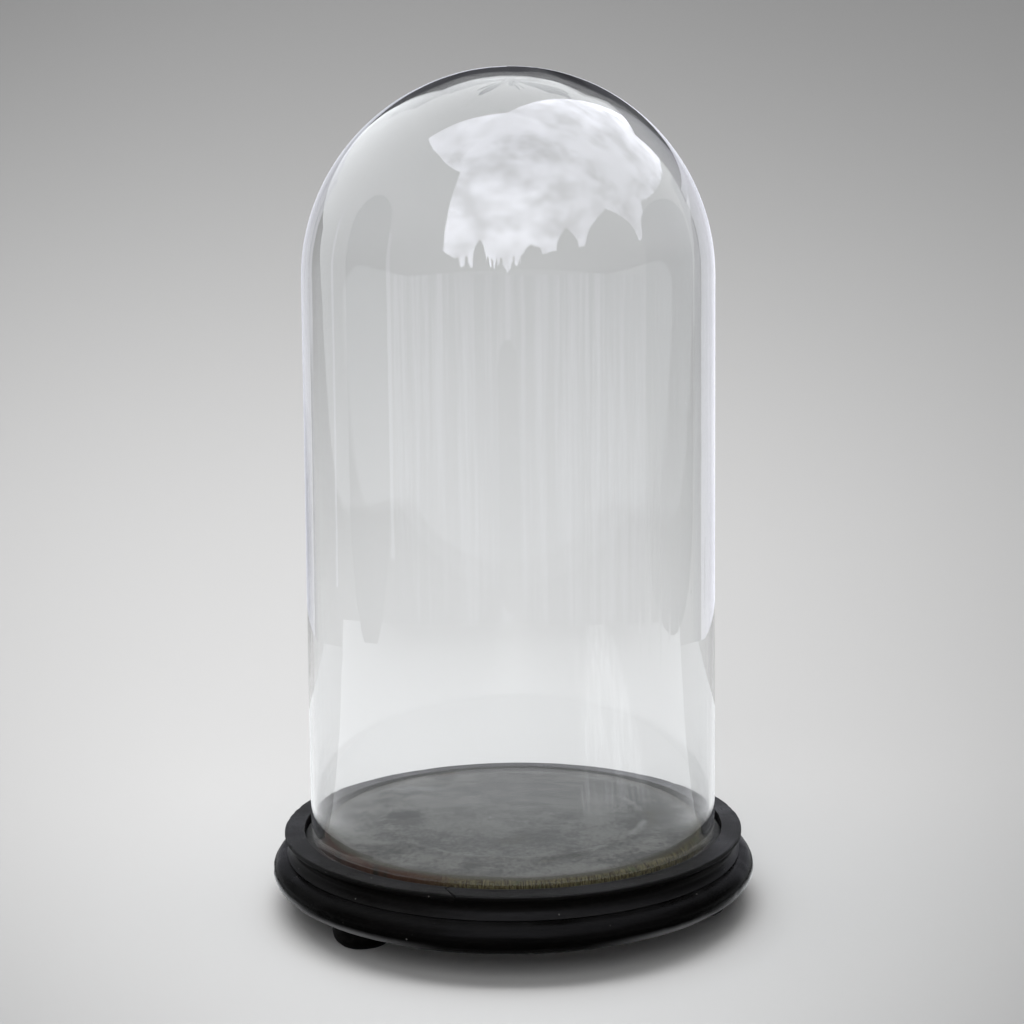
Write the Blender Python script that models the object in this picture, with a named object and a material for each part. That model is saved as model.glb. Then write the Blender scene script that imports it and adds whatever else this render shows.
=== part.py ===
"""Bell jar dome: a blown-glass shade standing in the groove of a turned, ebonised
base on three bun feet, with a cloth-covered platform under the glass.

Metres, +Z up. The origin is on the dome's axis, on the surface the feet stand on.
+X is to the right and -Y is the front.
"""

import math

import bmesh
import bpy
from mathutils import Matrix, Vector

MM = 0.001

# ---------------------------------------------------------------- dimensions

FACETS = 64  # round the big turned pieces, all in phase, so that gaps stay even
GAP = 0.3 * MM  # clearance between faces that touch on the real object

# feet
FOOT_HEIGHT = 16.7 * MM
FOOT_PITCH_R = 118.2 * MM
FOOT_MAX_R = 18.0 * MM
FOOT_FLOOR_R = 12.0 * MM
FOOT_NECK_R = 13.0 * MM
FOOT_FIRST_DEG = 222.6  # front left, then every 120 degrees
SPIGOT_R = 6.0 * MM
SPIGOT_TOP = 26.0 * MM
FOOT_FACETS = 28

# lower board, with a torus moulding round its edge
BOARD_BOTTOM = 17.0 * MM
BOARD_TOP = 34.0 * MM
TORUS_R = 141.7 * MM  # radius of the moulding's centre line
TORUS_Z = 24.5 * MM
TORUS_OUT = 9.0 * MM  # how far it bulges past its centre line

# upper ring, with the lip, the cove and the groove for the glass
RING_BOTTOM = BOARD_TOP + GAP
RING_TOP = 48.0 * MM
RING_BORE_R = 119.4 * MM
GROOVE_FLOOR = 42.0 * MM
GROOVE_R = 131.2 * MM
LIP_R = 143.4 * MM
LIP_HEIGHT = 2.8 * MM
LIP_UNDERCUT_R = 141.3 * MM
NECK_R = 139.0 * MM
NECK_Z = 40.2 * MM
FLARE_R = 142.4 * MM

# platform and its cloth
PLATFORM_R = 117.6 * MM
PLATFORM_TOP = 47.1 * MM
CLOTH_THICK = 1.0 * MM
CLOTH_HEM_Z = 38.0 * MM

# felt that the glass stands on
FELT_IN_R = 119.7 * MM
FELT_OUT_R = 129.9 * MM
FELT_THICK = 1.5 * MM

# glass
GLASS_R = 127.0 * MM
GLASS_WALL = 3.0 * MM
GLASS_SPRING_Z = 386.1 * MM  # where the cylinder becomes a hemisphere
GLASS_RINGS = 14  # from the spring line to the apex

# wood screws, driven up from underneath
SCREW_LENGTH = 25.0 * MM
SCREW_SHANK_R = 2.1 * MM
SCREW_CORE_R = 1.6 * MM
SCREW_HEAD_R = 4.0 * MM
SCREW_HEAD_HEIGHT = 2.4 * MM
SCREW_SLOT = 1.1 * MM
SCREW_SINK = 0.5 * MM  # the heads lie this far inside the board's underside
SCREW_FACETS = 14
PLATFORM_SCREWS = 4
PLATFORM_SCREW_R = 70.0 * MM
PLATFORM_SCREW_FIRST_DEG = 27.6
RING_SCREWS = 6
RING_SCREW_R = 134.6 * MM
RING_SCREW_FIRST_DEG = FOOT_FIRST_DEG + 30.0

# ------------------------------------------------------------------- helpers


def clear_scene():
    for obj in list(bpy.data.objects):
        bpy.data.objects.remove(obj, do_unlink=True)


def material(name, colour, roughness, metallic=0.0, alpha=1.0, transmission=0.0, ior=1.45):
    made = bpy.data.materials.new(name)
    made.use_nodes = True
    made.diffuse_color = (*colour, alpha)
    shader = made.node_tree.nodes["Principled BSDF"]
    shader.inputs["Base Color"].default_value = (*colour, 1.0)
    shader.inputs["Roughness"].default_value = roughness
    shader.inputs["Metallic"].default_value = metallic
    shader.inputs["Transmission Weight"].default_value = transmission
    shader.inputs["IOR"].default_value = ior
    return made


def arc(centre_r, centre_z, radius_r, radius_z, start_deg, end_deg, steps):
    """Points of an ellipse's arc in the (radius, height) plane, both ends included."""
    return [
        (
            centre_r + radius_r * math.cos(math.radians(start_deg + (end_deg - start_deg) * i / steps)),
            centre_z + radius_z * math.sin(math.radians(start_deg + (end_deg - start_deg) * i / steps)),
        )
        for i in range(steps + 1)
    ]


def hollow_curve(start, waist, end, steps):
    """A concave moulding from start through waist to end, as a quadratic in its height."""
    (r0, z0), (r1, z1), (r2, z2) = start, waist, end
    points = []
    for i in range(steps + 1):
        z = z0 + (z2 - z0) * i / steps
        points.append(
            (
                r0 * (z - z1) * (z - z2) / ((z0 - z1) * (z0 - z2))
                + r1 * (z - z0) * (z - z2) / ((z1 - z0) * (z1 - z2))
                + r2 * (z - z0) * (z - z1) / ((z2 - z0) * (z2 - z1)),
                z,
            )
        )
    return points


def turned_mesh(name, outline, facets, closed):
    """Spins an outline of (radius, height) points round Z.

    A closed outline is a ring's section. An open one starts and ends on the axis.
    """
    bm = bmesh.new()
    verts = [bm.verts.new((r, 0.0, z)) for r, z in outline]
    edges = [bm.edges.new(pair) for pair in zip(verts, verts[1:])]
    if closed:
        edges.append(bm.edges.new((verts[-1], verts[0])))
    bmesh.ops.spin(
        bm,
        geom=verts + edges,
        cent=(0.0, 0.0, 0.0),
        axis=(0.0, 0.0, 1.0),
        angle=2.0 * math.pi,
        steps=facets,
        use_duplicate=False,
    )
    bmesh.ops.remove_doubles(bm, verts=bm.verts, dist=2e-6)
    bmesh.ops.dissolve_degenerate(bm, edges=bm.edges, dist=1e-6)
    bmesh.ops.recalc_face_normals(bm, faces=bm.faces)
    if bm.calc_volume(signed=True) < 0.0:
        bmesh.ops.reverse_faces(bm, faces=bm.faces)
    mesh = bpy.data.meshes.new(name)
    bm.to_mesh(mesh)
    bm.free()
    mesh.shade_smooth()
    mesh.set_sharp_from_angle(angle=math.radians(35.0))
    return mesh


def place(name, mesh, finish, location=(0.0, 0.0, 0.0), parent=None, turn_deg=0.0):
    obj = bpy.data.objects.new(name, mesh)
    bpy.context.scene.collection.objects.link(obj)
    obj.location = location
    obj.rotation_euler = (0.0, 0.0, math.radians(turn_deg))
    obj.parent = parent
    if finish is not None:
        if mesh.materials:
            mesh.materials[0] = finish
        else:
            mesh.materials.append(finish)
    return obj


def empty(name, location=(0.0, 0.0, 0.0), parent=None):
    obj = bpy.data.objects.new(name, None)
    bpy.context.scene.collection.objects.link(obj)
    obj.location = location
    obj.parent = parent
    return obj


def cut(target, cutter):
    cutter.hide_render = True
    cutter.display_type = "WIRE"
    modifier = target.modifiers.new(cutter.name, "BOOLEAN")
    modifier.operation = "DIFFERENCE"
    modifier.solver = "EXACT"
    modifier.object = cutter


def joined_cutters(name, mesh, spots):
    """One cutter object out of copies of a mesh at each spot: (x, y, z)."""
    bm = bmesh.new()
    for spot in spots:
        piece = bmesh.new()
        piece.from_mesh(mesh)
        bmesh.ops.translate(piece, verts=piece.verts, vec=Vector(spot))
        copy = bpy.data.meshes.new(name + "_copy")
        piece.to_mesh(copy)
        piece.free()
        bm.from_mesh(copy)
        bpy.data.meshes.remove(copy)
    made = bpy.data.meshes.new(name)
    bm.to_mesh(made)
    bm.free()
    return made


def on_circle(radius, count, first_deg):
    return [
        (
            radius * math.cos(math.radians(first_deg + 360.0 * i / count)),
            radius * math.sin(math.radians(first_deg + 360.0 * i / count)),
            first_deg + 360.0 * i / count,
        )
        for i in range(count)
    ]


# ------------------------------------------------------------------ profiles


def board_outline():
    lower = arc(TORUS_R, TORUS_Z, TORUS_OUT, TORUS_Z - BOARD_BOTTOM, -90.0, 0.0, 6)
    upper = arc(TORUS_R, TORUS_Z, TORUS_OUT, BOARD_TOP - TORUS_Z, 0.0, 90.0, 7)
    return [(0.0, BOARD_BOTTOM)] + lower + upper[1:] + [(0.0, BOARD_TOP)]


def ring_outline():
    cove_top = (LIP_UNDERCUT_R, RING_TOP - LIP_HEIGHT - 0.5 * MM)
    cove_foot = (FLARE_R, RING_BOTTOM)
    cove = hollow_curve(cove_foot, (NECK_R, NECK_Z), cove_top, 6)
    lip = arc(
        LIP_R - 0.9 * MM, RING_TOP - 0.9 * MM, 0.9 * MM, 0.9 * MM, 0.0, 90.0, 3
    )
    return (
        [(RING_BORE_R, RING_BOTTOM)]
        + cove
        + [(LIP_R - 0.6 * MM, RING_TOP - LIP_HEIGHT), (LIP_R, RING_TOP - LIP_HEIGHT + 0.7 * MM)]
        + lip
        + [
            (GROOVE_R + 0.6 * MM, RING_TOP),
            (GROOVE_R, RING_TOP - 0.6 * MM),
            (GROOVE_R, GROOVE_FLOOR),
            (RING_BORE_R, GROOVE_FLOOR),
        ]
    )


def platform_outline():
    return [
        (0.0, RING_BOTTOM),
        (PLATFORM_R, RING_BOTTOM),
        (PLATFORM_R, PLATFORM_TOP - 0.8 * MM),
        (PLATFORM_R - 0.8 * MM, PLATFORM_TOP),
        (0.0, PLATFORM_TOP),
    ]


def cloth_outline():
    under = PLATFORM_TOP + GAP
    top = under + CLOTH_THICK
    inner = PLATFORM_R + GAP
    outer = inner + CLOTH_THICK
    return [
        (0.0, under),
        (inner - 0.8 * MM, under),
        (inner, under - 0.8 * MM),
        (inner, CLOTH_HEM_Z),
        (outer, CLOTH_HEM_Z),
        (outer, top - 1.2 * MM),
        (outer - 0.4 * MM, top - 0.4 * MM),
        (outer - 1.2 * MM, top),
        (0.0, top),
    ]


def felt_outline():
    bottom = GROOVE_FLOOR + GAP
    top = bottom + FELT_THICK
    return [(FELT_IN_R, bottom), (FELT_OUT_R, bottom), (FELT_OUT_R, top), (FELT_IN_R, top)]


def glass_outline(base):
    """Heights are from the glass's ground edge, at base above the floor."""
    inner_r = GLASS_R - GLASS_WALL
    spring = GLASS_SPRING_Z - base
    ease = 0.6 * MM
    walls = [spring * 0.33, spring * 0.66]
    outer_dome = arc(0.0, spring, GLASS_R, GLASS_R, 0.0, 90.0, GLASS_RINGS)
    inner_dome = arc(0.0, spring, inner_r, inner_r, 90.0, 0.0, GLASS_RINGS)
    outer_dome[-1] = (0.0, outer_dome[-1][1])
    inner_dome[0] = (0.0, inner_dome[0][1])
    return (
        inner_dome
        + [(inner_r, z) for z in reversed(walls)]
        + [(inner_r, ease), (inner_r + ease, 0.0), (GLASS_R - ease, 0.0), (GLASS_R, ease)]
        + [(GLASS_R, z) for z in walls]
        + outer_dome
    )


def foot_outline():
    bulge_z = FOOT_HEIGHT * 0.52
    lower = arc(
        FOOT_FLOOR_R, bulge_z, FOOT_MAX_R - FOOT_FLOOR_R, bulge_z, -90.0, 0.0, 5
    )
    upper = arc(
        FOOT_NECK_R,
        bulge_z,
        FOOT_MAX_R - FOOT_NECK_R,
        FOOT_HEIGHT - bulge_z,
        0.0,
        90.0,
        4,
    )
    return (
        [(0.0, 0.0)]
        + lower
        + upper[1:]
        + [
            (SPIGOT_R, FOOT_HEIGHT),
            (SPIGOT_R, SPIGOT_TOP - 0.8 * MM),
            (SPIGOT_R - 0.8 * MM, SPIGOT_TOP),
            (0.0, SPIGOT_TOP),
        ]
    )


def screw_outline(grow=0.0, below=0.0):
    """A countersunk wood screw, head down, its head's face at height 0.

    grow widens it into the hole it sits in, and below runs that hole out of the board.
    """
    head = SCREW_HEAD_R + grow
    shank = SCREW_SHANK_R + grow
    core = SCREW_CORE_R + grow
    points = [(0.0, -below)]
    if below:
        points.append((head, -below))
    points += [
        (head, 0.0),
        (head, 0.3 * MM),
        (shank, SCREW_HEAD_HEIGHT),
        (shank, SCREW_LENGTH * 0.42),
        (core, SCREW_LENGTH * 0.46),
        (core, SCREW_LENGTH * 0.84 + grow),
        (0.0, SCREW_LENGTH + 2.0 * grow),
    ]
    return points


def slotted_screw_mesh():
    """The screw with the slot cut across its head, as one finished mesh."""
    blank = place("screw_blank", turned_mesh("screw_blank", screw_outline(), SCREW_FACETS, False), None)
    slot_mesh = bpy.data.meshes.new("screw_slot")
    bm = bmesh.new()
    bmesh.ops.create_cube(
        bm,
        size=1.0,
        matrix=Matrix.Translation((0.0, 0.0, -0.4 * MM))
        @ Matrix.Diagonal((3.0 * SCREW_HEAD_R, SCREW_SLOT, 2.6 * MM, 1.0)),
    )
    bm.to_mesh(slot_mesh)
    bm.free()
    slot = place("screw_slot", slot_mesh, None)
    cut(blank, slot)
    graph = bpy.context.evaluated_depsgraph_get()
    made = bpy.data.meshes.new_from_object(blank.evaluated_get(graph))
    made.name = "wood_screw"
    bpy.data.objects.remove(blank, do_unlink=True)
    bpy.data.objects.remove(slot, do_unlink=True)
    return made


# -------------------------------------------------------------------- model


def main():
    clear_scene()

    ebonised = material("ebonised_wood", (0.012, 0.011, 0.011), 0.38)
    ring_finish = material("ebonised_ring", (0.016, 0.015, 0.015), 0.42)
    foot_finish = material("ebonised_feet", (0.010, 0.010, 0.010), 0.5)
    raw_wood = material("platform_wood", (0.30, 0.19, 0.10), 0.7)
    velvet = material("grey_velvet", (0.14, 0.14, 0.14), 0.95)
    felt = material("red_felt", (0.10, 0.02, 0.018), 0.95)
    glass = material("blown_glass", (0.93, 0.96, 0.96), 0.02, alpha=0.35, transmission=1.0, ior=1.5)
    steel = material("screw_steel", (0.24, 0.22, 0.20), 0.45, metallic=1.0)

    base = empty("base")

    # the lower board, drilled for the feet and for the screws
    board = place(
        "plinth_board",
        turned_mesh("plinth_board", board_outline(), FACETS, False),
        ebonised,
        parent=base,
    )
    feet = on_circle(FOOT_PITCH_R, 3, FOOT_FIRST_DEG)
    socket_mesh = turned_mesh(
        "spigot_socket",
        [
            (0.0, BOARD_BOTTOM - 2.0 * MM),
            (SPIGOT_R + GAP, BOARD_BOTTOM - 2.0 * MM),
            (SPIGOT_R + GAP, SPIGOT_TOP + 0.5 * MM),
            (0.0, SPIGOT_TOP + 0.5 * MM),
        ],
        FOOT_FACETS,
        False,
    )
    sockets = place(
        "spigot_sockets",
        joined_cutters("spigot_sockets", socket_mesh, [(x, y, 0.0) for x, y, _ in feet]),
        None,
        parent=base,
    )
    cut(board, sockets)

    head_z = BOARD_BOTTOM + SCREW_SINK
    hole_mesh = turned_mesh(
        "screw_hole", screw_outline(grow=GAP, below=2.0 * MM), SCREW_FACETS, False
    )
    platform_spots = on_circle(PLATFORM_SCREW_R, PLATFORM_SCREWS, PLATFORM_SCREW_FIRST_DEG)
    ring_spots = on_circle(RING_SCREW_R, RING_SCREWS, RING_SCREW_FIRST_DEG)
    holes = place(
        "screw_holes",
        joined_cutters(
            "screw_holes", hole_mesh, [(x, y, head_z) for x, y, _ in platform_spots + ring_spots]
        ),
        None,
        parent=base,
    )
    cut(board, holes)

    # the upper ring and the platform, both with blind pilot holes from below
    ring = place(
        "rim_ring", turned_mesh("rim_ring", ring_outline(), FACETS, True), ring_finish, parent=base
    )
    cut(ring, holes)
    platform = place(
        "platform_disc",
        turned_mesh("platform_disc", platform_outline(), FACETS, False),
        raw_wood,
        parent=base,
    )
    cut(platform, holes)

    # soft pieces
    place(
        "platform_cloth",
        turned_mesh("platform_cloth", cloth_outline(), FACETS, False),
        velvet,
        parent=base,
    )
    place("groove_felt", turned_mesh("groove_felt", felt_outline(), FACETS, True), felt, parent=base)

    # feet
    foot_mesh = turned_mesh("bun_foot", foot_outline(), FOOT_FACETS, False)
    for (x, y, _), side in zip(feet, ("left", "right", "back")):
        place(f"foot_{side}", foot_mesh, foot_finish, location=(x, y, 0.0), parent=base)

    # screws
    screw_mesh = slotted_screw_mesh()
    for i, (x, y, turn) in enumerate(platform_spots, start=1):
        place(
            f"platform_screw_{i}",
            screw_mesh,
            steel,
            location=(x, y, head_z),
            parent=base,
            turn_deg=turn + 23.0 * i,
        )
    for i, (x, y, turn) in enumerate(ring_spots, start=1):
        place(
            f"ring_screw_{i}",
            screw_mesh,
            steel,
            location=(x, y, head_z),
            parent=base,
            turn_deg=turn + 41.0 * i,
        )

    # the glass lifts straight up off its felt, so its origin is on that axis
    glass_base = GROOVE_FLOOR + GAP + FELT_THICK + GAP
    lift = empty("dome_lift_axis", location=(0.0, 0.0, glass_base))
    place(
        "glass_dome",
        turned_mesh("glass_dome", glass_outline(glass_base), FACETS, False),
        glass,
        parent=lift,
    )


main()
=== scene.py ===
"""Looks for the bell jar dome: blown glass, ebonised turned wood, worn velvet and felt."""

import math

import bmesh
import bpy
import numpy as np
from mathutils import Matrix, Vector, noise


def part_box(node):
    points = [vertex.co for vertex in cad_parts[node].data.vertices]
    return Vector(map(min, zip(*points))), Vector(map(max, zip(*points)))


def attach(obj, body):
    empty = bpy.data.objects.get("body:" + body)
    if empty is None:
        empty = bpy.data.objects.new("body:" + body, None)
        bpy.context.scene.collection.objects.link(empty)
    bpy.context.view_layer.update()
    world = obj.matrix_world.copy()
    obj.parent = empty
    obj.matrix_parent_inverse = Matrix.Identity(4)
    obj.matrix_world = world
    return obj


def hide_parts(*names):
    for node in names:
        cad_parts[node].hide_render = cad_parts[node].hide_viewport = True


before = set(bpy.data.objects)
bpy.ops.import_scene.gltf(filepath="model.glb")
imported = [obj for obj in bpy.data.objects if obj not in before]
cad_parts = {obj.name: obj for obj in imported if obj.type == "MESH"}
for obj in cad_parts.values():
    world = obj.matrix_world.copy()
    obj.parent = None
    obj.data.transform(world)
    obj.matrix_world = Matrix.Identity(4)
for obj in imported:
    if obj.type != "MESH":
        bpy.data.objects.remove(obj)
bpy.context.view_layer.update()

MM = 0.001
TAU = 2.0 * math.pi

# ------------------------------------------------------------- frame sizes

glass_lo, glass_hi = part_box("glass_dome")
ring_lo, ring_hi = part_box("rim_ring")
board_lo, board_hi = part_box("plinth_board")
cloth_lo, cloth_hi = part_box("platform_cloth")
felt_lo, felt_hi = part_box("groove_felt")
disc_lo, disc_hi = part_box("platform_disc")

GLASS_R = glass_hi.x
GLASS_BASE = glass_lo.z
GLASS_TOP = glass_hi.z
SPRING = GLASS_TOP - GLASS_R
RIM_TOP = ring_hi.z
RIM_R = ring_hi.x
TORUS_MAX_R = board_hi.x
CLOTH_TOP = (cloth_hi.z) + 1.5 * MM
CLOTH_R = cloth_hi.x


# ------------------------------------------------------------------ camera

cam_data = bpy.data.cameras.new("camera")
cam_data.lens = 47.15
cam_data.sensor_width = 36.0
cam_data.clip_start = 0.02
cam_data.clip_end = 60.0
camera = bpy.data.objects.new("camera", cam_data)
bpy.context.scene.collection.objects.link(camera)
camera.matrix_world = (
    Matrix.Translation((0.0, -0.8393, 0.3005))
    @ Matrix.Rotation(math.radians(-0.0727), 4, "Z")
    @ Matrix.Rotation(math.radians(86.08), 4, "X")
    @ Matrix.Rotation(math.radians(-0.5), 4, "Z")
)
bpy.context.scene.camera = camera

# ------------------------------------------------------------ mesh helpers


def smooth(a, b, x):
    t = np.clip((x - a) / (b - a), 0.0, 1.0)
    return t * t * (3.0 - 2.0 * t)


def noise_at(points, scale, seed=0.0, octaves=1):
    """Value noise in -1..1 for an (n, 3) array of points, in metres."""
    scale = np.broadcast_to(np.asarray(scale, float), (3,))
    p = points * scale + np.array([seed * 1.37, seed * 2.11 + 5.0, seed * 0.71 - 3.0])
    if octaves == 1:
        return np.array([noise.noise(Vector(q)) for q in p])
    return np.array([noise.fractal(Vector(q), 1.0, 2.0, octaves) for q in p])


def arc(cr, cz, rr, rz, a0, a1, n):
    return [
        (
            cr + rr * math.cos(math.radians(a0 + (a1 - a0) * i / n)),
            cz + rz * math.sin(math.radians(a0 + (a1 - a0) * i / n)),
        )
        for i in range(n + 1)
    ]


def line(p, q, n):
    """Points from p towards q, p included and q left out."""
    return [(p[0] + (q[0] - p[0]) * i / n, p[1] + (q[1] - p[1]) * i / n) for i in range(n)]


def lathe(name, outline, thetas, closed, warp=None, attributes=None):
    """Spins an outline of (radius, height) points. warp moves the points, as arrays."""
    outline = [(r, z) for r, z in outline]
    m = len(thetas)
    rows, r_all, z_all, t_all = [], [], [], []
    count = 0
    for r, z in outline:
        k = 1 if r < 1e-7 else m
        rows.append((count, k))
        count += k
        r_all += [r] * k
        z_all += [z] * k
        t_all += [0.0] if k == 1 else list(thetas)
    r_all, z_all, t_all = (np.array(v, float) for v in (r_all, z_all, t_all))
    co = np.stack([r_all * np.cos(t_all), r_all * np.sin(t_all), z_all], -1)
    if warp:
        co = warp(co, r_all, z_all, t_all)
    faces = []
    pairs = list(zip(rows, rows[1:])) + ([(rows[-1], rows[0])] if closed else [])
    for (a, ka), (b, kb) in pairs:
        for j in range(m):
            n = (j + 1) % m
            if ka == 1 and kb == 1:
                continue
            if ka == 1:
                faces.append((a, b + n, b + j))
            elif kb == 1:
                faces.append((a + j, a + n, b))
            else:
                faces.append((a + j, a + n, b + n, b + j))
    mesh = bpy.data.meshes.new(name)
    mesh.from_pydata(co.tolist(), [], faces)
    for key, values in (attributes(r_all, z_all, t_all) if attributes else {}).items():
        layer = mesh.attributes.new(key, "FLOAT", "POINT")
        layer.data.foreach_set("value", np.asarray(values, np.float32))
    bm = bmesh.new()
    bm.from_mesh(mesh)
    bmesh.ops.recalc_face_normals(bm, faces=bm.faces)
    if bm.calc_volume(signed=True) < 0:
        bmesh.ops.reverse_faces(bm, faces=bm.faces)
    bm.to_mesh(mesh)
    bm.free()
    mesh.shade_smooth()
    mesh.set_sharp_from_angle(angle=math.radians(50.0))
    obj = bpy.data.objects.new(name, mesh)
    bpy.context.scene.collection.objects.link(obj)
    return obj


def even(n):
    return [TAU * i / n for i in range(n)]


def give(obj, mat):
    obj.data.materials.clear()
    obj.data.materials.append(mat)


# -------------------------------------------------------- material helpers


class Tree:
    """A short way to write a node tree. Inputs are numbers, colours or other nodes' sockets."""

    def __init__(self, name):
        self.mat = bpy.data.materials.new(name)
        self.mat.use_nodes = True
        self.tree = self.mat.node_tree
        self.tree.nodes.clear()
        self.coord = self.node("ShaderNodeTexCoord").outputs["Object"]
        self.position = None

    def node(self, kind, inputs=None, **props):
        made = self.tree.nodes.new(kind)
        for key, value in props.items():
            setattr(made, key, value)
        for key, value in (inputs or {}).items():
            socket = made.inputs[key]
            if isinstance(value, bpy.types.NodeSocket):
                self.tree.links.new(value, socket)
            else:
                socket.default_value = value
        return made

    def math(self, op, a, b=0.0, c=0.0, clamp=False):
        return self.node(
            "ShaderNodeMath", {0: a, 1: b, 2: c}, operation=op, use_clamp=clamp
        ).outputs[0]

    def mapped(self, scale, offset=(0, 0, 0), turn=(0, 0, 0)):
        return self.node(
            "ShaderNodeMapping",
            {"Vector": self.coord, "Scale": scale, "Location": offset, "Rotation": turn},
        ).outputs[0]

    def noise(self, scale, detail=2.0, rough=0.55, vector=None, distortion=0.0):
        return self.node(
            "ShaderNodeTexNoise",
            {
                "Vector": self.coord if vector is None else vector,
                "Scale": scale,
                "Detail": detail,
                "Roughness": rough,
                "Distortion": distortion,
            },
        ).outputs["Fac"]

    def remap(self, value, a, b, c=0.0, d=1.0, kind="SMOOTHSTEP"):
        made = self.node(
            "ShaderNodeMapRange",
            {"Value": value, "From Min": a, "From Max": b, "To Min": c, "To Max": d},
            interpolation_type=kind,
        )
        return made.outputs[0]

    def mix(self, fac, a, b):
        made = self.node("ShaderNodeMix", data_type="RGBA", blend_type="MIX")
        for socket, value in ((made.inputs[0], fac), (made.inputs[6], a), (made.inputs[7], b)):
            if isinstance(value, bpy.types.NodeSocket):
                self.tree.links.new(value, socket)
            else:
                socket.default_value = value if not isinstance(value, tuple) or len(value) == 4 else (*value, 1.0)
        return made.outputs[2]

    def tint(self, colour, factor):
        """A colour socket times a number socket."""
        made = self.node("ShaderNodeVectorMath", operation="SCALE")
        for key, value in ((0, colour), ("Scale", factor)):
            if isinstance(value, bpy.types.NodeSocket):
                self.tree.links.new(value, made.inputs[key])
            else:
                made.inputs[key].default_value = value
        return made.outputs[0]

    def attribute(self, name):
        return self.node("ShaderNodeAttribute", attribute_name=name).outputs["Fac"]

    def polar(self):
        """(radius, height, angle) sockets of the point about the dome's axis."""
        parts = self.node("ShaderNodeSeparateXYZ", {0: self.coord}).outputs
        rr = self.math(
            "SQRT", self.math("ADD", self.math("MULTIPLY", parts[0], parts[0]), self.math("MULTIPLY", parts[1], parts[1]))
        )
        return rr, parts[2], self.math("ARCTAN2", parts[1], parts[0])

    def bump(self, height, distance, strength=1.0, normal=None):
        inputs = {"Height": height, "Distance": distance, "Strength": strength}
        if normal is not None:
            inputs["Normal"] = normal
        return self.node("ShaderNodeBump", inputs).outputs[0]

    def finish(self, shader):
        out = self.node("ShaderNodeOutputMaterial")
        self.tree.links.new(shader, out.inputs["Surface"])
        return self.mat

    def principled(self, **inputs):
        renamed = {key.replace("_", " "): value for key, value in inputs.items()}
        return self.node("ShaderNodeBsdfPrincipled", renamed).outputs[0]


# --------------------------------------------------------------- materials


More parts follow.
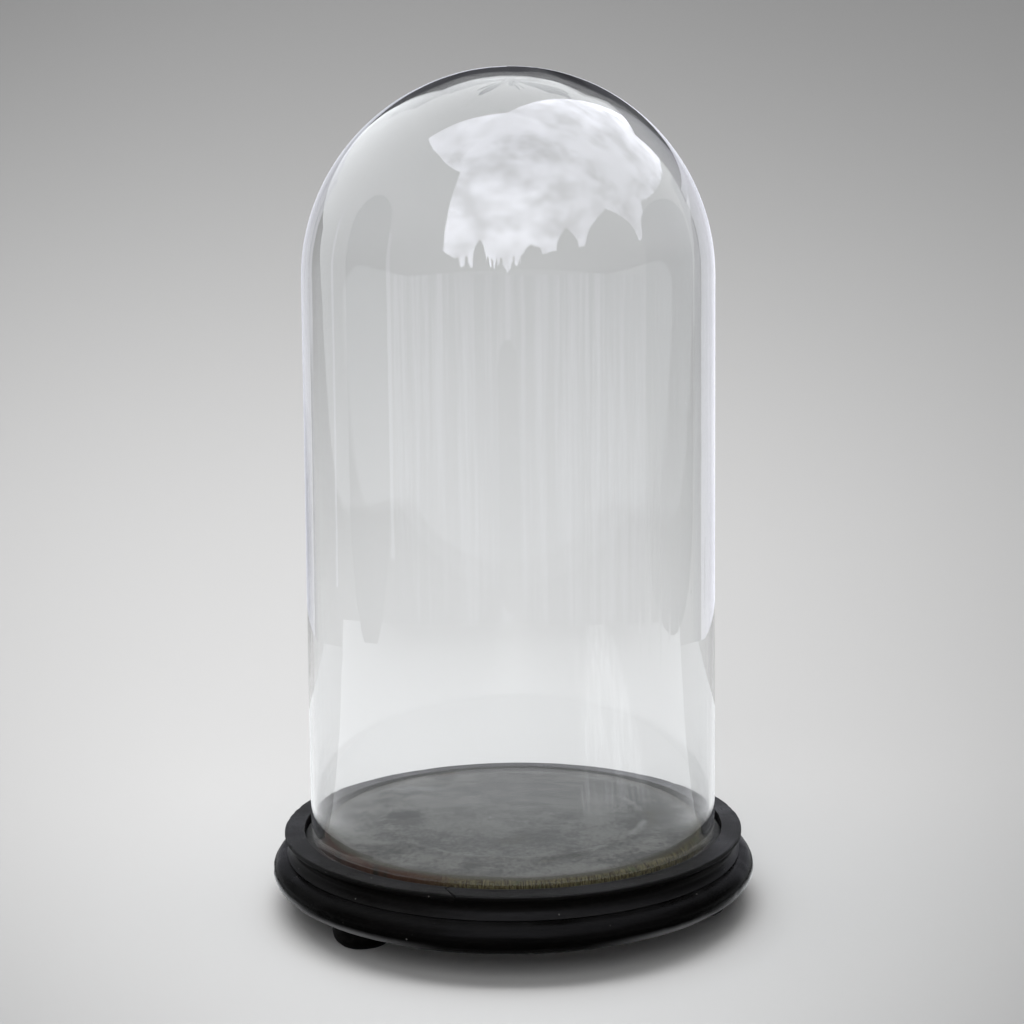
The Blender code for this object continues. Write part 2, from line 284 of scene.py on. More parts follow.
def ebonised(name, seed, dark, worn_colour, rough_lo, rough_hi, grain_turn=0.0, dust=0.5, worn=0.5, gloss=0.03, floor_reflection_strip=0.0):
    """Black-stained turned wood: open grain, turning marks, rubbed edges, dust and nicks."""
    t = Tree(name)
    rr, zz, ang = t.polar()
    grain = t.noise(
        1.0, 5.0, 0.65, t.mapped((38.0, 900.0, 900.0), (seed, seed * 2, seed * 3), (0, 0, grain_turn))
    )
    pores = t.noise(
        1.0, 2.0, 0.5, t.mapped((110.0, 2600.0, 2600.0), (seed * 5, 3, 1), (0, 0, grain_turn))
    )
    pores = t.remap(pores, 0.60, 0.72)
    turned = t.node("ShaderNodeCombineXYZ", {0: t.math("MULTIPLY", rr, 1500.0), 1: t.math("MULTIPLY", zz, 1500.0), 2: t.math("MULTIPLY", ang, 1.3)}).outputs[0]
    turning = t.noise(1.0, 3.0, 0.6, turned)
    cloud = t.noise(24.0, 4.0, 0.6, t.mapped((1, 1, 1), (seed * 7, 0, seed)))
    fine = t.noise(1900.0, 2.0, 0.5)

    base = t.mix(t.remap(grain, 0.35, 0.7), (dark * 0.75, dark * 0.72, dark * 0.72), (dark * 1.5, dark * 1.4, dark * 1.32))
    base = t.mix(t.math("MULTIPLY", pores, 0.6), base, (dark * 0.35, dark * 0.35, dark * 0.35))

    # rubbed edges, broken up by the grain
    wear = t.attribute("wear")
    rub = t.noise(210.0, 4.0, 0.7, t.mapped((1, 1, 1), (seed, seed, 0)))
    rub = t.remap(t.math("ADD", t.math("MULTIPLY", wear, 0.62), t.math("MULTIPLY", rub, 0.55)), 0.62, 0.9)
    base = t.mix(t.math("MULTIPLY", rub, worn), base, worn_colour)

    # fine scuffs across the surface
    scuff_a = t.noise(1.0, 2.0, 0.5, t.mapped((60.0, 2300.0, 700.0), (seed, 1, 2), (0.3, 0.2, 0.9 + seed)))
    scuff_b = t.noise(1.0, 2.0, 0.5, t.mapped((2100.0, 75.0, 800.0), (seed, 4, 2), (0.1, 0.4, 0.4 + seed)))
    scuffs = t.math("MAXIMUM", t.remap(scuff_a, 0.70, 0.78), t.remap(scuff_b, 0.71, 0.79))
    scuffs = t.math("MULTIPLY", scuffs, t.remap(cloud, 0.42, 0.62))

    # dust on whatever faces up, in clouds
    up = t.node("ShaderNodeSeparateXYZ", {0: t.node("ShaderNodeNewGeometry").outputs["Normal"]}).outputs[2]
    lies = t.remap(up, 0.45, 1.0)
    dusty = t.math("MULTIPLY", lies, t.remap(t.math("ADD", t.math("MULTIPLY", cloud, 0.6), t.math("MULTIPLY", fine, 0.4)), 0.42, 0.60))
    specks = t.node("ShaderNodeTexVoronoi", {"Vector": t.coord, "Scale": 330.0, "Randomness": 1.0}, feature="F1")
    chosen = t.remap(t.node("ShaderNodeSeparateColor", {0: specks.outputs["Color"]}).outputs[0], 0.955, 0.97)
    speck = t.math("MULTIPLY", t.remap(specks.outputs["Distance"], 0.11, 0.2, 1.0, 0.0), chosen)
    pale = t.math("MULTIPLY", dusty, dust, clamp=True)
    pale = t.math("ADD", pale, t.math("MULTIPLY", scuffs, 0.16), clamp=True)
    colour = t.mix(pale, base, (0.044, 0.044, 0.045))
    colour = t.mix(t.math("MULTIPLY", speck, 0.45), colour, (0.15, 0.145, 0.14))

    if floor_reflection_strip:
        # painted reflection: the lower edge is painted pale at the two sides, where the moulding would mirror the pale
        # floor
        x = t.node("ShaderNodeSeparateXYZ", {0: t.coord}).outputs[0]
        low = t.remap(t.math("ADD", zz, t.math("MULTIPLY", t.math("SUBTRACT", cloud, 0.5), 0.003)), 0.0195, 0.0240, 1.0, 0.0)
        low = t.math("MULTIPLY", low, t.remap(rr, 0.1370, 0.1410))
        low = t.math("MULTIPLY", low, t.remap(t.math("ABSOLUTE", x), 0.035, 0.105))
        colour = t.mix(t.math("MULTIPLY", low, floor_reflection_strip), colour, (0.21, 0.21, 0.215))

    rough = t.remap(cloud, 0.3, 0.72, rough_lo, rough_hi, "LINEAR")
    rough = t.math("ADD", rough, t.math("MULTIPLY", dusty, 0.22))
    rough = t.math("ADD", rough, t.math("MULTIPLY", rub, 0.15))
    rough = t.math("ADD", rough, t.math("MULTIPLY", t.math("SUBTRACT", turning, 0.5), 0.18), clamp=True)

    height = t.math("ADD", t.math("MULTIPLY", grain, 0.35), t.math("MULTIPLY", turning, 0.35))
    height = t.math("SUBTRACT", height, t.math("MULTIPLY", pores, 0.55))
    height = t.math("SUBTRACT", height, t.math("MULTIPLY", scuffs, 0.5))
    height = t.math("ADD", height, t.math("MULTIPLY", cloud, 1.5))
    height = t.math("ADD", height, t.math("MULTIPLY", speck, 0.6))
    normal = t.bump(height, 0.00006, 0.8)
    shader = t.principled(
        Base_Color=colour, Roughness=rough, Normal=normal, Specular_IOR_Level=gloss,
    )
    return t.finish(shader)


def blown_glass():
    """Clear old glass with drawn-out cords in it. Lamps' rays pass straight through."""
    t = Tree("glass_blown")
    rr, zz, ang = t.polar()
    cords = t.noise(1.0, 3.0, 0.6, t.mapped((260.0, 260.0, 5.0), (1, 2, 3)))
    fine = t.noise(1.0, 2.0, 0.5, t.mapped((1100.0, 1100.0, 22.0), (4, 1, 0)))
    swell = t.noise(14.0, 2.0, 0.5)
    seeds = t.node("ShaderNodeTexVoronoi", {"Vector": t.mapped((150.0, 150.0, 60.0)), "Scale": 1.0}, feature="F1")
    chosen = t.remap(t.node("ShaderNodeSeparateColor", {0: seeds.outputs["Color"]}).outputs[1], 0.965, 0.975)
    seed = t.math("MULTIPLY", t.remap(seeds.outputs["Distance"], 0.04, 0.10, 1.0, 0.0), chosen)
    drawn = t.remap(zz, SPRING - 0.03, SPRING + 0.05, 1.0, 0.0)
    height = t.math("MULTIPLY", t.math("ADD", cords, t.math("MULTIPLY", fine, 0.03)), drawn)
    height = t.math("ADD", height, t.math("MULTIPLY", swell, 5.0))
    height = t.math("ADD", height, t.math("MULTIPLY", seed, 2.0))
    normal = t.bump(height, 0.000018, 1.0)
    # a faint bloom of dust and grease in upright runs, clearer at the left
    runs = t.noise(1.0, 4.0, 0.65, t.mapped((330.0, 330.0, 5.0), (9, 4, 2)))
    broad = t.noise(1.0, 2.0, 0.5, t.mapped((34.0, 34.0, 6.0), (1, 4, 2)))
    xyz = t.node("ShaderNodeSeparateXYZ", {0: t.coord}).outputs
    right = t.remap(xyz[0], -0.035, 0.03, 0.25, 1.0)
    tall = t.math("MULTIPLY", t.remap(zz, 0.12, 0.18), t.remap(zz, 0.41, 0.36))
    bloom = t.math("MULTIPLY", t.remap(runs, 0.5, 0.66), t.remap(broad, 0.42, 0.62))
    bloom = t.math("MULTIPLY", bloom, t.math("MULTIPLY", right, tall))
    rough = t.math("MULTIPLY", bloom, 0.22)
    glass = t.principled(
        Base_Color=(0.985, 0.992, 0.995, 1.0), Roughness=rough, Normal=normal, IOR=1.5, Transmission_Weight=1.0
    )
    clear = t.node("ShaderNodeBsdfTransparent", {"Color": (0.93, 0.945, 0.95, 1.0)}).outputs[0]
    shadow = t.node("ShaderNodeLightPath").outputs["Is Shadow Ray"]
    shader = t.node("ShaderNodeMixShader", {0: shadow, 1: glass, 2: clear}).outputs[0]
    return t.finish(shader)


def velvet():
    """Cotton velvet gone grey: mottled nap, a ring pressed in it with a painted highlight on its ridge and painted
    shade in its gutter, stains, a painted highlight on a crease, a browned skirt.
    """
    t = Tree("velvet_grey")
    rr, zz, ang = t.polar()
    parts = t.node("ShaderNodeSeparateXYZ", {0: t.coord}).outputs
    mottle = t.noise(26.0, 5.0, 0.62, t.mapped((1, 1, 1), (3, 1, 0)))
    blotch = t.noise(75.0, 4.0, 0.6, t.mapped((1, 1.2, 1), (0, 6, 0)))
    nap = t.noise(1.0, 3.0, 0.7, t.mapped((1500.0, 1500.0, 1500.0)))
    brushed = t.noise(1.0, 5.0, 0.7, t.mapped((300.0, 210.0, 60.0), (2, 0, 0), (0, 0, 0.25)))
    tone = t.math("ADD", t.math("MULTIPLY", mottle, 0.55), t.math("MULTIPLY", blotch, 0.28))
    tone = t.math("ADD", tone, t.math("MULTIPLY", brushed, 0.2))
    grain = t.noise(420.0, 3.0, 0.7, t.mapped((1.0, 0.8, 1.0), (4, 4, 4)))
    tone = t.math("ADD", tone, t.math("MULTIPLY", t.math("SUBTRACT", grain, 0.5), 0.35))
    colour = t.mix(t.remap(tone, 0.43, 0.62), (0.038, 0.0368, 0.0348), (0.106, 0.1030, 0.0975))
    colour = t.mix(t.math("MULTIPLY", t.remap(nap, 0.35, 0.7), 0.35), colour, (0.045, 0.045, 0.044))

    # the ring that a heavy round base pressed into the nap, with a painted highlight along its ridge, stronger to the
    # right, and painted shade in the gutter outside it
    wobble = t.math("MULTIPLY", t.math("SUBTRACT", t.noise(30.0, 3.0), 0.5), 0.010)
    cx = t.math("SUBTRACT", parts[0], 0.0012)
    cy = t.math("ADD", parts[1], 0.0025)
    ring_r = t.math("SQRT", t.math("ADD", t.math("MULTIPLY", cx, cx), t.math("MULTIPLY", cy, cy)))
    ring_r = t.math("ADD", ring_r, wobble)
    ridge_and_highlight = t.remap(t.math("ABSOLUTE", t.math("SUBTRACT", ring_r, 0.0805)), 0.0006, 0.0042, 1.0, 0.0)
    gutter_shade = t.remap(t.math("ABSOLUTE", t.math("SUBTRACT", ring_r, 0.0868)), 0.0008, 0.0055, 1.0, 0.0)
    inside = t.remap(ring_r, 0.074, 0.080, 1.0, 0.0)
    broken = t.remap(t.noise(34.0, 3.0, 0.6, t.mapped((1, 1, 1), (8, 2, 0))), 0.36, 0.62)
    right = t.remap(t.math("ADD", parts[0], t.math("MULTIPLY", parts[1], -0.5)), -0.05, 0.075, 0.25, 1.0)
    ridge_and_highlight = t.math("MULTIPLY", t.math("MULTIPLY", ridge_and_highlight, broken), right)
    # painted highlight on the ridge, then painted shade in the gutter
    colour = t.mix(t.math("MULTIPLY", ridge_and_highlight, 0.55), colour, (0.160, 0.158, 0.154))
    colour = t.mix(t.math("MULTIPLY", gutter_shade, 0.3), colour, (0.05, 0.05, 0.05))
    colour = t.mix(t.math("MULTIPLY", inside, 0.18), colour, (0.095, 0.095, 0.096))

    def spot(x, y, rx, ry, soft=0.5):
        dx = t.math("DIVIDE", t.math("SUBTRACT", parts[0], x), rx)
        dy = t.math("DIVIDE", t.math("SUBTRACT", parts[1], y), ry)
        d = t.math("SQRT", t.math("ADD", t.math("MULTIPLY", dx, dx), t.math("MULTIPLY", dy, dy)))
        d = t.math("ADD", d, t.math("MULTIPLY", t.math("SUBTRACT", t.noise(160.0, 4.0, 0.7), 0.5), 1.3))
        return t.remap(d, soft, 1.25, 1.0, 0.0)

    colour = t.mix(t.math("MULTIPLY", spot(-0.069, 0.004, 0.012, 0.010), 0.6), colour, (0.016, 0.016, 0.017))
    colour = t.mix(t.math("MULTIPLY", spot(-0.0515, 0.097, 0.011, 0.012), 0.7), colour, (0.014, 0.014, 0.015))
    colour = t.mix(t.math("MULTIPLY", spot(0.012, -0.04, 0.020, 0.012), 0.25), colour, (0.035, 0.035, 0.035))
    # painted highlight along the short crease at the back left
    colour = t.mix(t.math("MULTIPLY", spot(-0.066, 0.062, 0.022, 0.007, 0.2), 0.45), colour, (0.16, 0.16, 0.162))

    # darker under the back edge, and the browned, balding skirt
    back = t.remap(t.math("ADD", parts[1], t.math("MULTIPLY", t.math("SUBTRACT", mottle, 0.5), 0.02)), 0.098, 0.112)
    colour = t.mix(t.math("MULTIPLY", back, 0.8), colour, (0.012, 0.012, 0.012))
    edge = t.remap(rr, 0.1090, 0.1145)
    skirt = t.remap(t.math("ADD", zz, t.math("MULTIPLY", t.math("SUBTRACT", mottle, 0.5), 0.002)), CLOTH_TOP - 0.0005, CLOTH_TOP - 0.0017)
    tufts = t.node("ShaderNodeCombineXYZ", {0: t.math("MULTIPLY", ang, 150.0), 1: t.math("MULTIPLY", rr, 260.0), 2: t.math("MULTIPLY", zz, 260.0)}).outputs[0]
    tuft = t.noise(1.0, 4.0, 0.7, tufts)
    browned = t.mix(t.remap(tuft, 0.36, 0.64), (0.012, 0.009, 0.004), (0.085, 0.073, 0.036))
    browned = t.mix(t.remap(t.noise(90.0, 3.0, 0.6, t.mapped((1, 1, 1), (5, 5, 5))), 0.54, 0.68), browned, (0.036, 0.042, 0.020))
    reddish = t.remap(t.math("ADD", parts[0], t.math("MULTIPLY", t.math("SUBTRACT", mottle, 0.5), 0.05)), -0.062, -0.018, 1.0, 0.0)
    browned = t.mix(t.math("MULTIPLY", reddish, 0.85), browned, (0.026, 0.007, 0.004))
    worn_out = t.remap(t.noise(1.0, 3.0, 0.6, t.mapped((38.0, 38.0, 1.0), (3, 3, 0))), 0.60, 0.68)
    browned = t.mix(worn_out, browned, (0.010, 0.008, 0.005))
    frayed = t.remap(t.math("ADD", rr, t.math("MULTIPLY", t.math("SUBTRACT", tuft, 0.5), 0.007)), 0.1128, 0.1158)
    colour = t.mix(t.math("MULTIPLY", edge, 0.3), colour, (0.045, 0.042, 0.034))
    colour = t.mix(t.math("MULTIPLY", frayed, 0.75), colour, (0.026, 0.023, 0.014))
    colour = t.mix(skirt, colour, browned)

    height = t.math("ADD", t.math("MULTIPLY", nap, 0.5), t.math("MULTIPLY", t.math("ADD", brushed, grain), 0.35))
    height = t.math("ADD", height, t.math("MULTIPLY", blotch, 0.5))
    height = t.math("ADD", height, t.math("MULTIPLY", ridge_and_highlight, 0.9))
    normal = t.bump(height, 0.00022, 0.9)
    rough = t.remap(mottle, 0.3, 0.7, 0.82, 1.0, "LINEAR")
    shader = t.principled(
        Base_Color=colour, Roughness=rough, Normal=normal, Specular_IOR_Level=0.15,
        Sheen_Weight=0.10, Sheen_Roughness=0.5, Sheen_Tint=(0.80, 0.82, 0.86, 1.0),
    )
    return t.finish(shader)


def felted(name, low, high, groove_shade_colour):
    """Pressed wool: matted fibres, painted shade in the slot at the outer edge and in the groove away from the front, a
    few pale crumbs.
    """
    t = Tree(name)
    rr, zz, ang = t.polar()
    mat_a = t.noise(1.0, 4.0, 0.7, t.mapped((900.0, 420.0, 900.0), (1, 1, 1), (0, 0, 0.8)))
    mat_b = t.noise(1.0, 4.0, 0.7, t.mapped((420.0, 950.0, 900.0), (3, 1, 1), (0, 0, 0.3)))
    fibre = t.math("MULTIPLY", t.math("ADD", mat_a, mat_b), 0.5)
    colour = t.mix(t.remap(fibre, 0.38, 0.62), low, high)
    # painted shade: the felt goes near black in the slot between the glass and the groove wall
    slot_shade_and_crumbs = t.remap(t.math("ADD", rr, t.math("MULTIPLY", t.math("SUBTRACT", t.noise(120.0, 4.0, 0.7), 0.5), 0.006)), 0.1265, 0.1285)
    colour = t.mix(t.math("MULTIPLY", slot_shade_and_crumbs, 0.9), colour, groove_shade_colour)
    front = t.node("ShaderNodeSeparateXYZ", {0: t.coord}).outputs[1]
    # painted shade in the groove, full at the back and sides and thinning out towards the front
    groove_shade = t.remap(t.math("ADD", front, t.math("MULTIPLY", t.math("SUBTRACT", t.noise(25.0), 0.5), 0.06)), -0.045, -0.090, 1.0, 0.12)
    colour = t.mix(groove_shade, colour, groove_shade_colour)
    crumbs = t.remap(t.noise(420.0, 3.0, 0.6), 0.66, 0.70)
    colour = t.mix(t.math("MULTIPLY", crumbs, t.math("MULTIPLY_ADD", slot_shade_and_crumbs, 0.6, 0.12)), colour, (0.19, 0.185, 0.175))
    normal = t.bump(fibre, 0.0004, 1.0)
    shader = t.principled(
        Base_Color=colour, Roughness=t.remap(fibre, 0.3, 0.7, 0.85, 1.0, "LINEAR"), Normal=normal,
        Specular_IOR_Level=0.1, Sheen_Weight=0.08, Sheen_Roughness=0.6,
    )
    return t.finish(shader)


def bare_wood():
    """The platform's unfinished softwood."""
    t = Tree("wood_bare")
    rings = t.noise(1.0, 3.0, 0.5, t.mapped((7.0, 130.0, 60.0), (1, 0, 0)), 0.6)
    fibres = t.noise(1.0, 4.0, 0.7, t.mapped((30.0, 1400.0, 1400.0)))
    colour = t.mix(t.remap(rings, 0.35, 0.65), (0.20, 0.115, 0.055), (0.36, 0.235, 0.125))
    colour = t.mix(t.math("MULTIPLY", t.remap(fibres, 0.45, 0.7), 0.4), colour, (0.14, 0.08, 0.04))
    normal = t.bump(t.math("ADD", fibres, rings), 0.0001, 0.8)
    shader = t.principled(
        Base_Color=colour, Roughness=t.remap(fibres, 0.3, 0.7, 0.6, 0.82, "LINEAR"), Normal=normal
    )
    return t.finish(shader)


def old_steel():
    """Dull screw steel: file marks, patches of brown bloom."""
    t = Tree("steel_old")
    rust = t.noise(420.0, 4.0, 0.7)
    marks = t.noise(1.0, 3.0, 0.6, t.mapped((900.0, 5200.0, 900.0), (0, 0, 0), (0, 0, 0.6)))
    rusty = t.remap(rust, 0.5, 0.66)
    colour = t.mix(rusty, (0.33, 0.31, 0.29), (0.11, 0.055, 0.028))
    rough = t.math("ADD", t.remap(marks, 0.3, 0.7, 0.3, 0.5, "LINEAR"), t.math("MULTIPLY", rusty, 0.4), clamp=True)
    normal = t.bump(t.math("ADD", marks, rust), 0.00005, 0.9)
    metal = t.math("SUBTRACT", 1.0, t.math("MULTIPLY", rusty, 0.8))
    shader = t.principled(Base_Color=colour, Roughness=rough, Metallic=metal, Normal=normal)
    return t.finish(shader)


RING_WOOD = ebonised("ebonised_ring_wood", 1.3, 0.0035, (0.085, 0.080, 0.076), 0.26, 0.40, 0.0, 0.27, 0.75, gloss=0.025)
# the board gets a painted reflection of the pale floor along the two sides of its lower edge
BOARD_WOOD = ebonised("ebonised_board_wood", 2.9, 0.0016, (0.036, 0.034, 0.033), 0.20, 0.32, 0.35, 0.06, 0.3, gloss=0.016, floor_reflection_strip=0.8)
FOOT_WOOD = ebonised("ebonised_foot_wood", 4.7, 0.0008, (0.030, 0.028, 0.027), 0.38, 0.55, 1.1, 0.0, 0.25)
GLASS = blown_glass()
VELVET = velvet()
# the felt's last colour is the near black laid in as painted shade in the groove
FELT = felted("felt_red", (0.020, 0.003, 0.003), (0.060, 0.010, 0.008), (0.006, 0.006, 0.006))
BARE = bare_wood()
STEEL = old_steel()

# ------------------------------------------------------------- glass shade

WALL = 3.0 * MM


def glass_warp(co, r, z, t):
    """Blown by hand: the wall wanders, thins and thickens, and the crown leans a little."""
    n = co.copy()
    flat = np.stack([np.cos(t) * 0.127, np.sin(t) * 0.127, z], -1)
    outer = np.hypot(r, np.maximum(z - SPRING, 0.0)) > GLASS_R - 0.5 * WALL
    wander = noise_at(flat, (9.0, 9.0, 5.0), 2.0) * 0.00035 + noise_at(flat, (45.0, 45.0, 3.0), 5.0) * 0.00006
    wall = noise_at(flat, (14.0, 14.0, 7.0), 9.0) * 0.00035
    lift = smooth(GLASS_BASE, GLASS_BASE + 0.03, z)
    push = (wander + np.where(outer, 0.0, wall)) * lift
    crown = np.clip((z - SPRING) / GLASS_R, 0.0, 1.0)
    direction = np.stack([r * np.cos(t), r * np.sin(t), np.maximum(z - SPRING, 0.0)], -1)
    length = np.maximum(np.linalg.norm(direction, axis=1, keepdims=True), 1e-9)
    n += direction / length * push[:, None]
    n[:, 0] += 0.0018 * crown**2
    return n


def glass_outline():
    inner = GLASS_R - WALL
    ease = 0.9 * MM
    rows = 34
    out = [(0.0, SPRING + inner)] + arc(0, SPRING, inner, inner, 88.6, 0.0, 52)
    out += line((inner, SPRING), (inner, GLASS_BASE + ease), rows)[1:]
    foot = arc(GLASS_R - WALL / 2, GLASS_BASE + ease, WALL / 2, ease, 180.0, 360.0, 10)
    out += foot
    out += line((GLASS_R, GLASS_BASE + ease), (GLASS_R, SPRING), rows)[1:]
    out += arc(0, SPRING, GLASS_R, GLASS_R, 0.0, 88.6, 52) + [(0.0, SPRING + GLASS_R)]
    return out


glass = lathe("glass_shade", glass_outline(), even(224), False, glass_warp)
glass.data.set_sharp_from_angle(angle=math.radians(180.0))
give(glass, GLASS)
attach(glass, "dome")
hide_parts("glass_dome")

# ---------------------------------------------------------------- rim ring

GROOVE_R = 131.2 * MM
GROOVE_FLOOR = felt_lo.z - 0.3 * MM
BORE_R = 119.4 * MM
CRACK = math.radians(-105.0)


def crack_angles():
    """Even turns, with extra ones close about the crack so that it can be cut."""
    base = [CRACK + TAU * i / 288 for i in range(288)]
    extra = [CRACK + math.radians(d) for d in (-0.62, -0.42, -0.24, -0.15, -0.08, 0.08, 0.15, 0.24, 0.42, 0.62)]
    return sorted(base + extra)


def ring_outline():
    top, bottom = RIM_TOP, ring_lo.z
    under = (141.3 * MM, top - 3.3 * MM)
    waist = (139.0 * MM, 40.2 * MM)
    foot = (142.4 * MM, bottom)

    def cove(z):
        (r0, z0), (r1, z1), (r2, z2) = foot, waist, under
        return (
            r0 * (z - z1) * (z - z2) / ((z0 - z1) * (z0 - z2))
            + r1 * (z - z0) * (z - z2) / ((z1 - z0) * (z1 - z2))
            + r2 * (z - z0) * (z - z1) / ((z2 - z0) * (z2 - z1))
        )

    pts = [(BORE_R, bottom), (130 * MM, bottom), (foot[0] - 0.4 * MM, bottom)]
    pts += [(cove(z), z) for z in np.linspace(bottom + 0.25 * MM, under[1], 22)]
    pts += arc(under[0] + 0.5 * MM, under[1] + 0.5 * MM, 0.5 * MM, 0.3 * MM, 200.0, 100.0, 3)[1:]
    pts += [(142.4 * MM, top - 2.75 * MM), (142.9 * MM, top - 2.6 * MM)]
    pts += arc(RIM_R - 0.5 * MM, top - 2.15 * MM, 0.5 * MM, 0.5 * MM, -70.0, 0.0, 4)
    pts += [(RIM_R, top - 1.4 * MM)]
    pts += arc(RIM_R - 0.9 * MM, top - 0.9 * MM, 0.9 * MM, 0.9 * MM, 0.0, 90.0, 7)
    pts += [(RIM_R - x * MM, top) for x in (1.6, 3.0, 5.0, 7.0, 9.0, 10.4)]
    pts += arc(GROOVE_R + 0.6 * MM, top - 0.6 * MM, 0.6 * MM, 0.6 * MM, 90.0, 180.0, 6)
    pts += [(GROOVE_R, top - z * MM) for z in (1.2, 2.2, 3.4, 4.6, 5.4)]
    pts += arc(GROOVE_R - 0.4 * MM, GROOVE_FLOOR + 0.4 * MM, 0.4 * MM, 0.4 * MM, 0.0, -90.0, 3)
    pts += [(129.0 * MM, GROOVE_FLOOR), (125.0 * MM, GROOVE_FLOOR), (121.0 * MM, GROOVE_FLOOR), (BORE_R, GROOVE_FLOOR)]
    return pts


def ring_warp(co, r, z, t):
    n = co.copy()
    # turned by hand and handled since: soft dents along the lip, a few nicks, one crack
    around = np.stack([np.cos(t) * 0.14, np.sin(t) * 0.14, np.zeros_like(z)], -1)
    lip = smooth(RIM_TOP - 3.5 * MM, RIM_TOP - 1.5 * MM, z) * smooth(0.1312, 0.1340, r)
    edge = lip * smooth(0.1412, 0.1430, r)
    dents = np.minimum(noise_at(around, 55.0, 3.0) + 0.12, 0.0) * 0.0010
    nicks = np.minimum(noise_at(around, 240.0, 8.0, 2) + 0.42, 0.0) * 0.0018
    push = (dents + nicks) * edge
    n[:, 0] += np.cos(t) * push
    n[:, 1] += np.sin(t) * push
    inner = lip * (1.0 - smooth(0.1316, 0.1330, r))
    bite = np.maximum(noise_at(around, 190.0, 13.0, 2) - 0.40, 0.0) * 0.0020 * inner
    n[:, 0] += np.cos(t) * bite
    n[:, 1] += np.sin(t) * bite
    n[:, 2] += noise_at(co, (70.0, 70.0, 70.0), 4.0) * 0.00010 * lip
    n[:, 2] -= 0.0002 * lip
    # the crack runs across the lip at a slant, and opens towards the groove
    a = np.angle(np.exp(1j * (t - CRACK)))
    reach = math.radians(7.0)
    near = np.abs(a) < reach
    bow = noise_at(np.stack([r, r * 0, r * 0], -1), 300.0, 6.0) * math.radians(0.35)
    slant = (r - 0.1373) / 0.0122 * math.radians(4.6) + bow
    slide = np.where(near, slant * (1.0 - np.abs(a) / reach) ** 1.5, 0.0) * lip
    c, s = np.cos(slide), np.sin(slide)
    x, y = n[:, 0].copy(), n[:, 1].copy()
    n[:, 0], n[:, 1] = x * c - y * s, x * s + y * c
    across = smooth(0.0, 1.0, 1.0 - np.abs(a) / math.radians(0.30))
    n[:, 2] -= np.where(near, across, 0.0) * lip * 0.0016
    return n


def ring_wear(r, z, t):
    lip_edge = np.exp(-(((r - RIM_R) / 0.0007) ** 2)) * np.exp(-(((z - RIM_TOP + 0.0004) / 0.0010) ** 2))
    inner_edge = np.exp(-(((r - GROOVE_R) / 0.0009) ** 2)) * np.exp(-(((z - RIM_TOP) / 0.0009) ** 2))
    under_edge = np.exp(-(((r - RIM_R) / 0.0008) ** 2)) * np.exp(-(((z - RIM_TOP + 0.0026) / 0.0006) ** 2))
    # the flat top of the rim is paler all round, and paler still towards the front left
    top = 0.36 * smooth(RIM_TOP - 0.0006, RIM_TOP - 0.0002, z)
    return {"wear": np.clip(np.maximum.reduce([0.55 * lip_edge, 0.8 * inner_edge, 0.12 * under_edge, top * (0.75 + 0.5 * smooth(0.0, -0.09, r * np.cos(t)) * smooth(0.02, -0.06, r * np.sin(t)))]), 0, 1)}


rim = lathe("rim_moulding", ring_outline(), crack_angles(), True, ring_warp, ring_wear)
give(rim, RING_WOOD)
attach(rim, "base")
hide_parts("rim_ring")

# ------------------------------------------------------------- lower board

BOARD_BOTTOM, BOARD_TOP = board_lo.z, board_hi.z
TORUS_C, TORUS_Z, TORUS_OUT = 141.7 * MM, 24.5 * MM, TORUS_MAX_R - 141.7 * MM


def board_outline():
    lower = arc(TORUS_C, TORUS_Z, TORUS_OUT, TORUS_Z - BOARD_BOTTOM, -90.0, 0.0, 16)
    upper = arc(TORUS_C, TORUS_Z, TORUS_OUT, BOARD_TOP - TORUS_Z, 0.0, 90.0, 20)
    flat = [(r * MM, BOARD_BOTTOM) for r in (20, 40, 60, 80, 100, 115, 128, 136)]
    # a shallow quirk separates the bead from the ring above
    quirk = [(141.0 * MM, BOARD_TOP - 0.25 * MM), (140.2 * MM, BOARD_TOP - 0.3 * MM), (138.5 * MM, BOARD_TOP)]
    return [(0.0, BOARD_BOTTOM)] + flat + lower + upper[1:] + quirk + [(100 * MM, BOARD_TOP), (0.0, BOARD_TOP)]


def board_warp(co, r, z, t):
    n = co.copy()
    edge = smooth(0.1360, 0.1440, r)
    around = np.stack([np.cos(t) * 0.15, np.sin(t) * 0.15, z], -1)
    dents = np.minimum(noise_at(around, (48.0, 48.0, 60.0), 21.0) + 0.18, 0.0) * 0.0009
    nicks = np.minimum(noise_at(around, (230.0, 230.0, 260.0), 25.0) + 0.50, 0.0) * 0.0016
    push = (dents + nicks) * edge
    out = np.stack([np.cos(t), np.sin(t), (z - TORUS_Z) / 0.012], -1)
    out /= np.linalg.norm(out, axis=1, keepdims=True)
    return n + out * push[:, None]


def board_wear(r, z, t):
    belly = smooth(0.1480, 0.1506, r) * 0.5
    crown = np.exp(-(((r - 0.1430) / 0.0016) ** 2)) * smooth(0.032, 0.0335, z) * 0.55
    heel = smooth(0.1400, 0.1420, r) * (1 - smooth(0.0172, 0.0200, z)) * 0.8
    return {"wear": np.clip(np.maximum.reduce([belly, crown, heel]), 0, 1)}


board = lathe("plinth_moulding", board_outline(), even(288), False, board_warp, board_wear)
give(board, BOARD_WOOD)

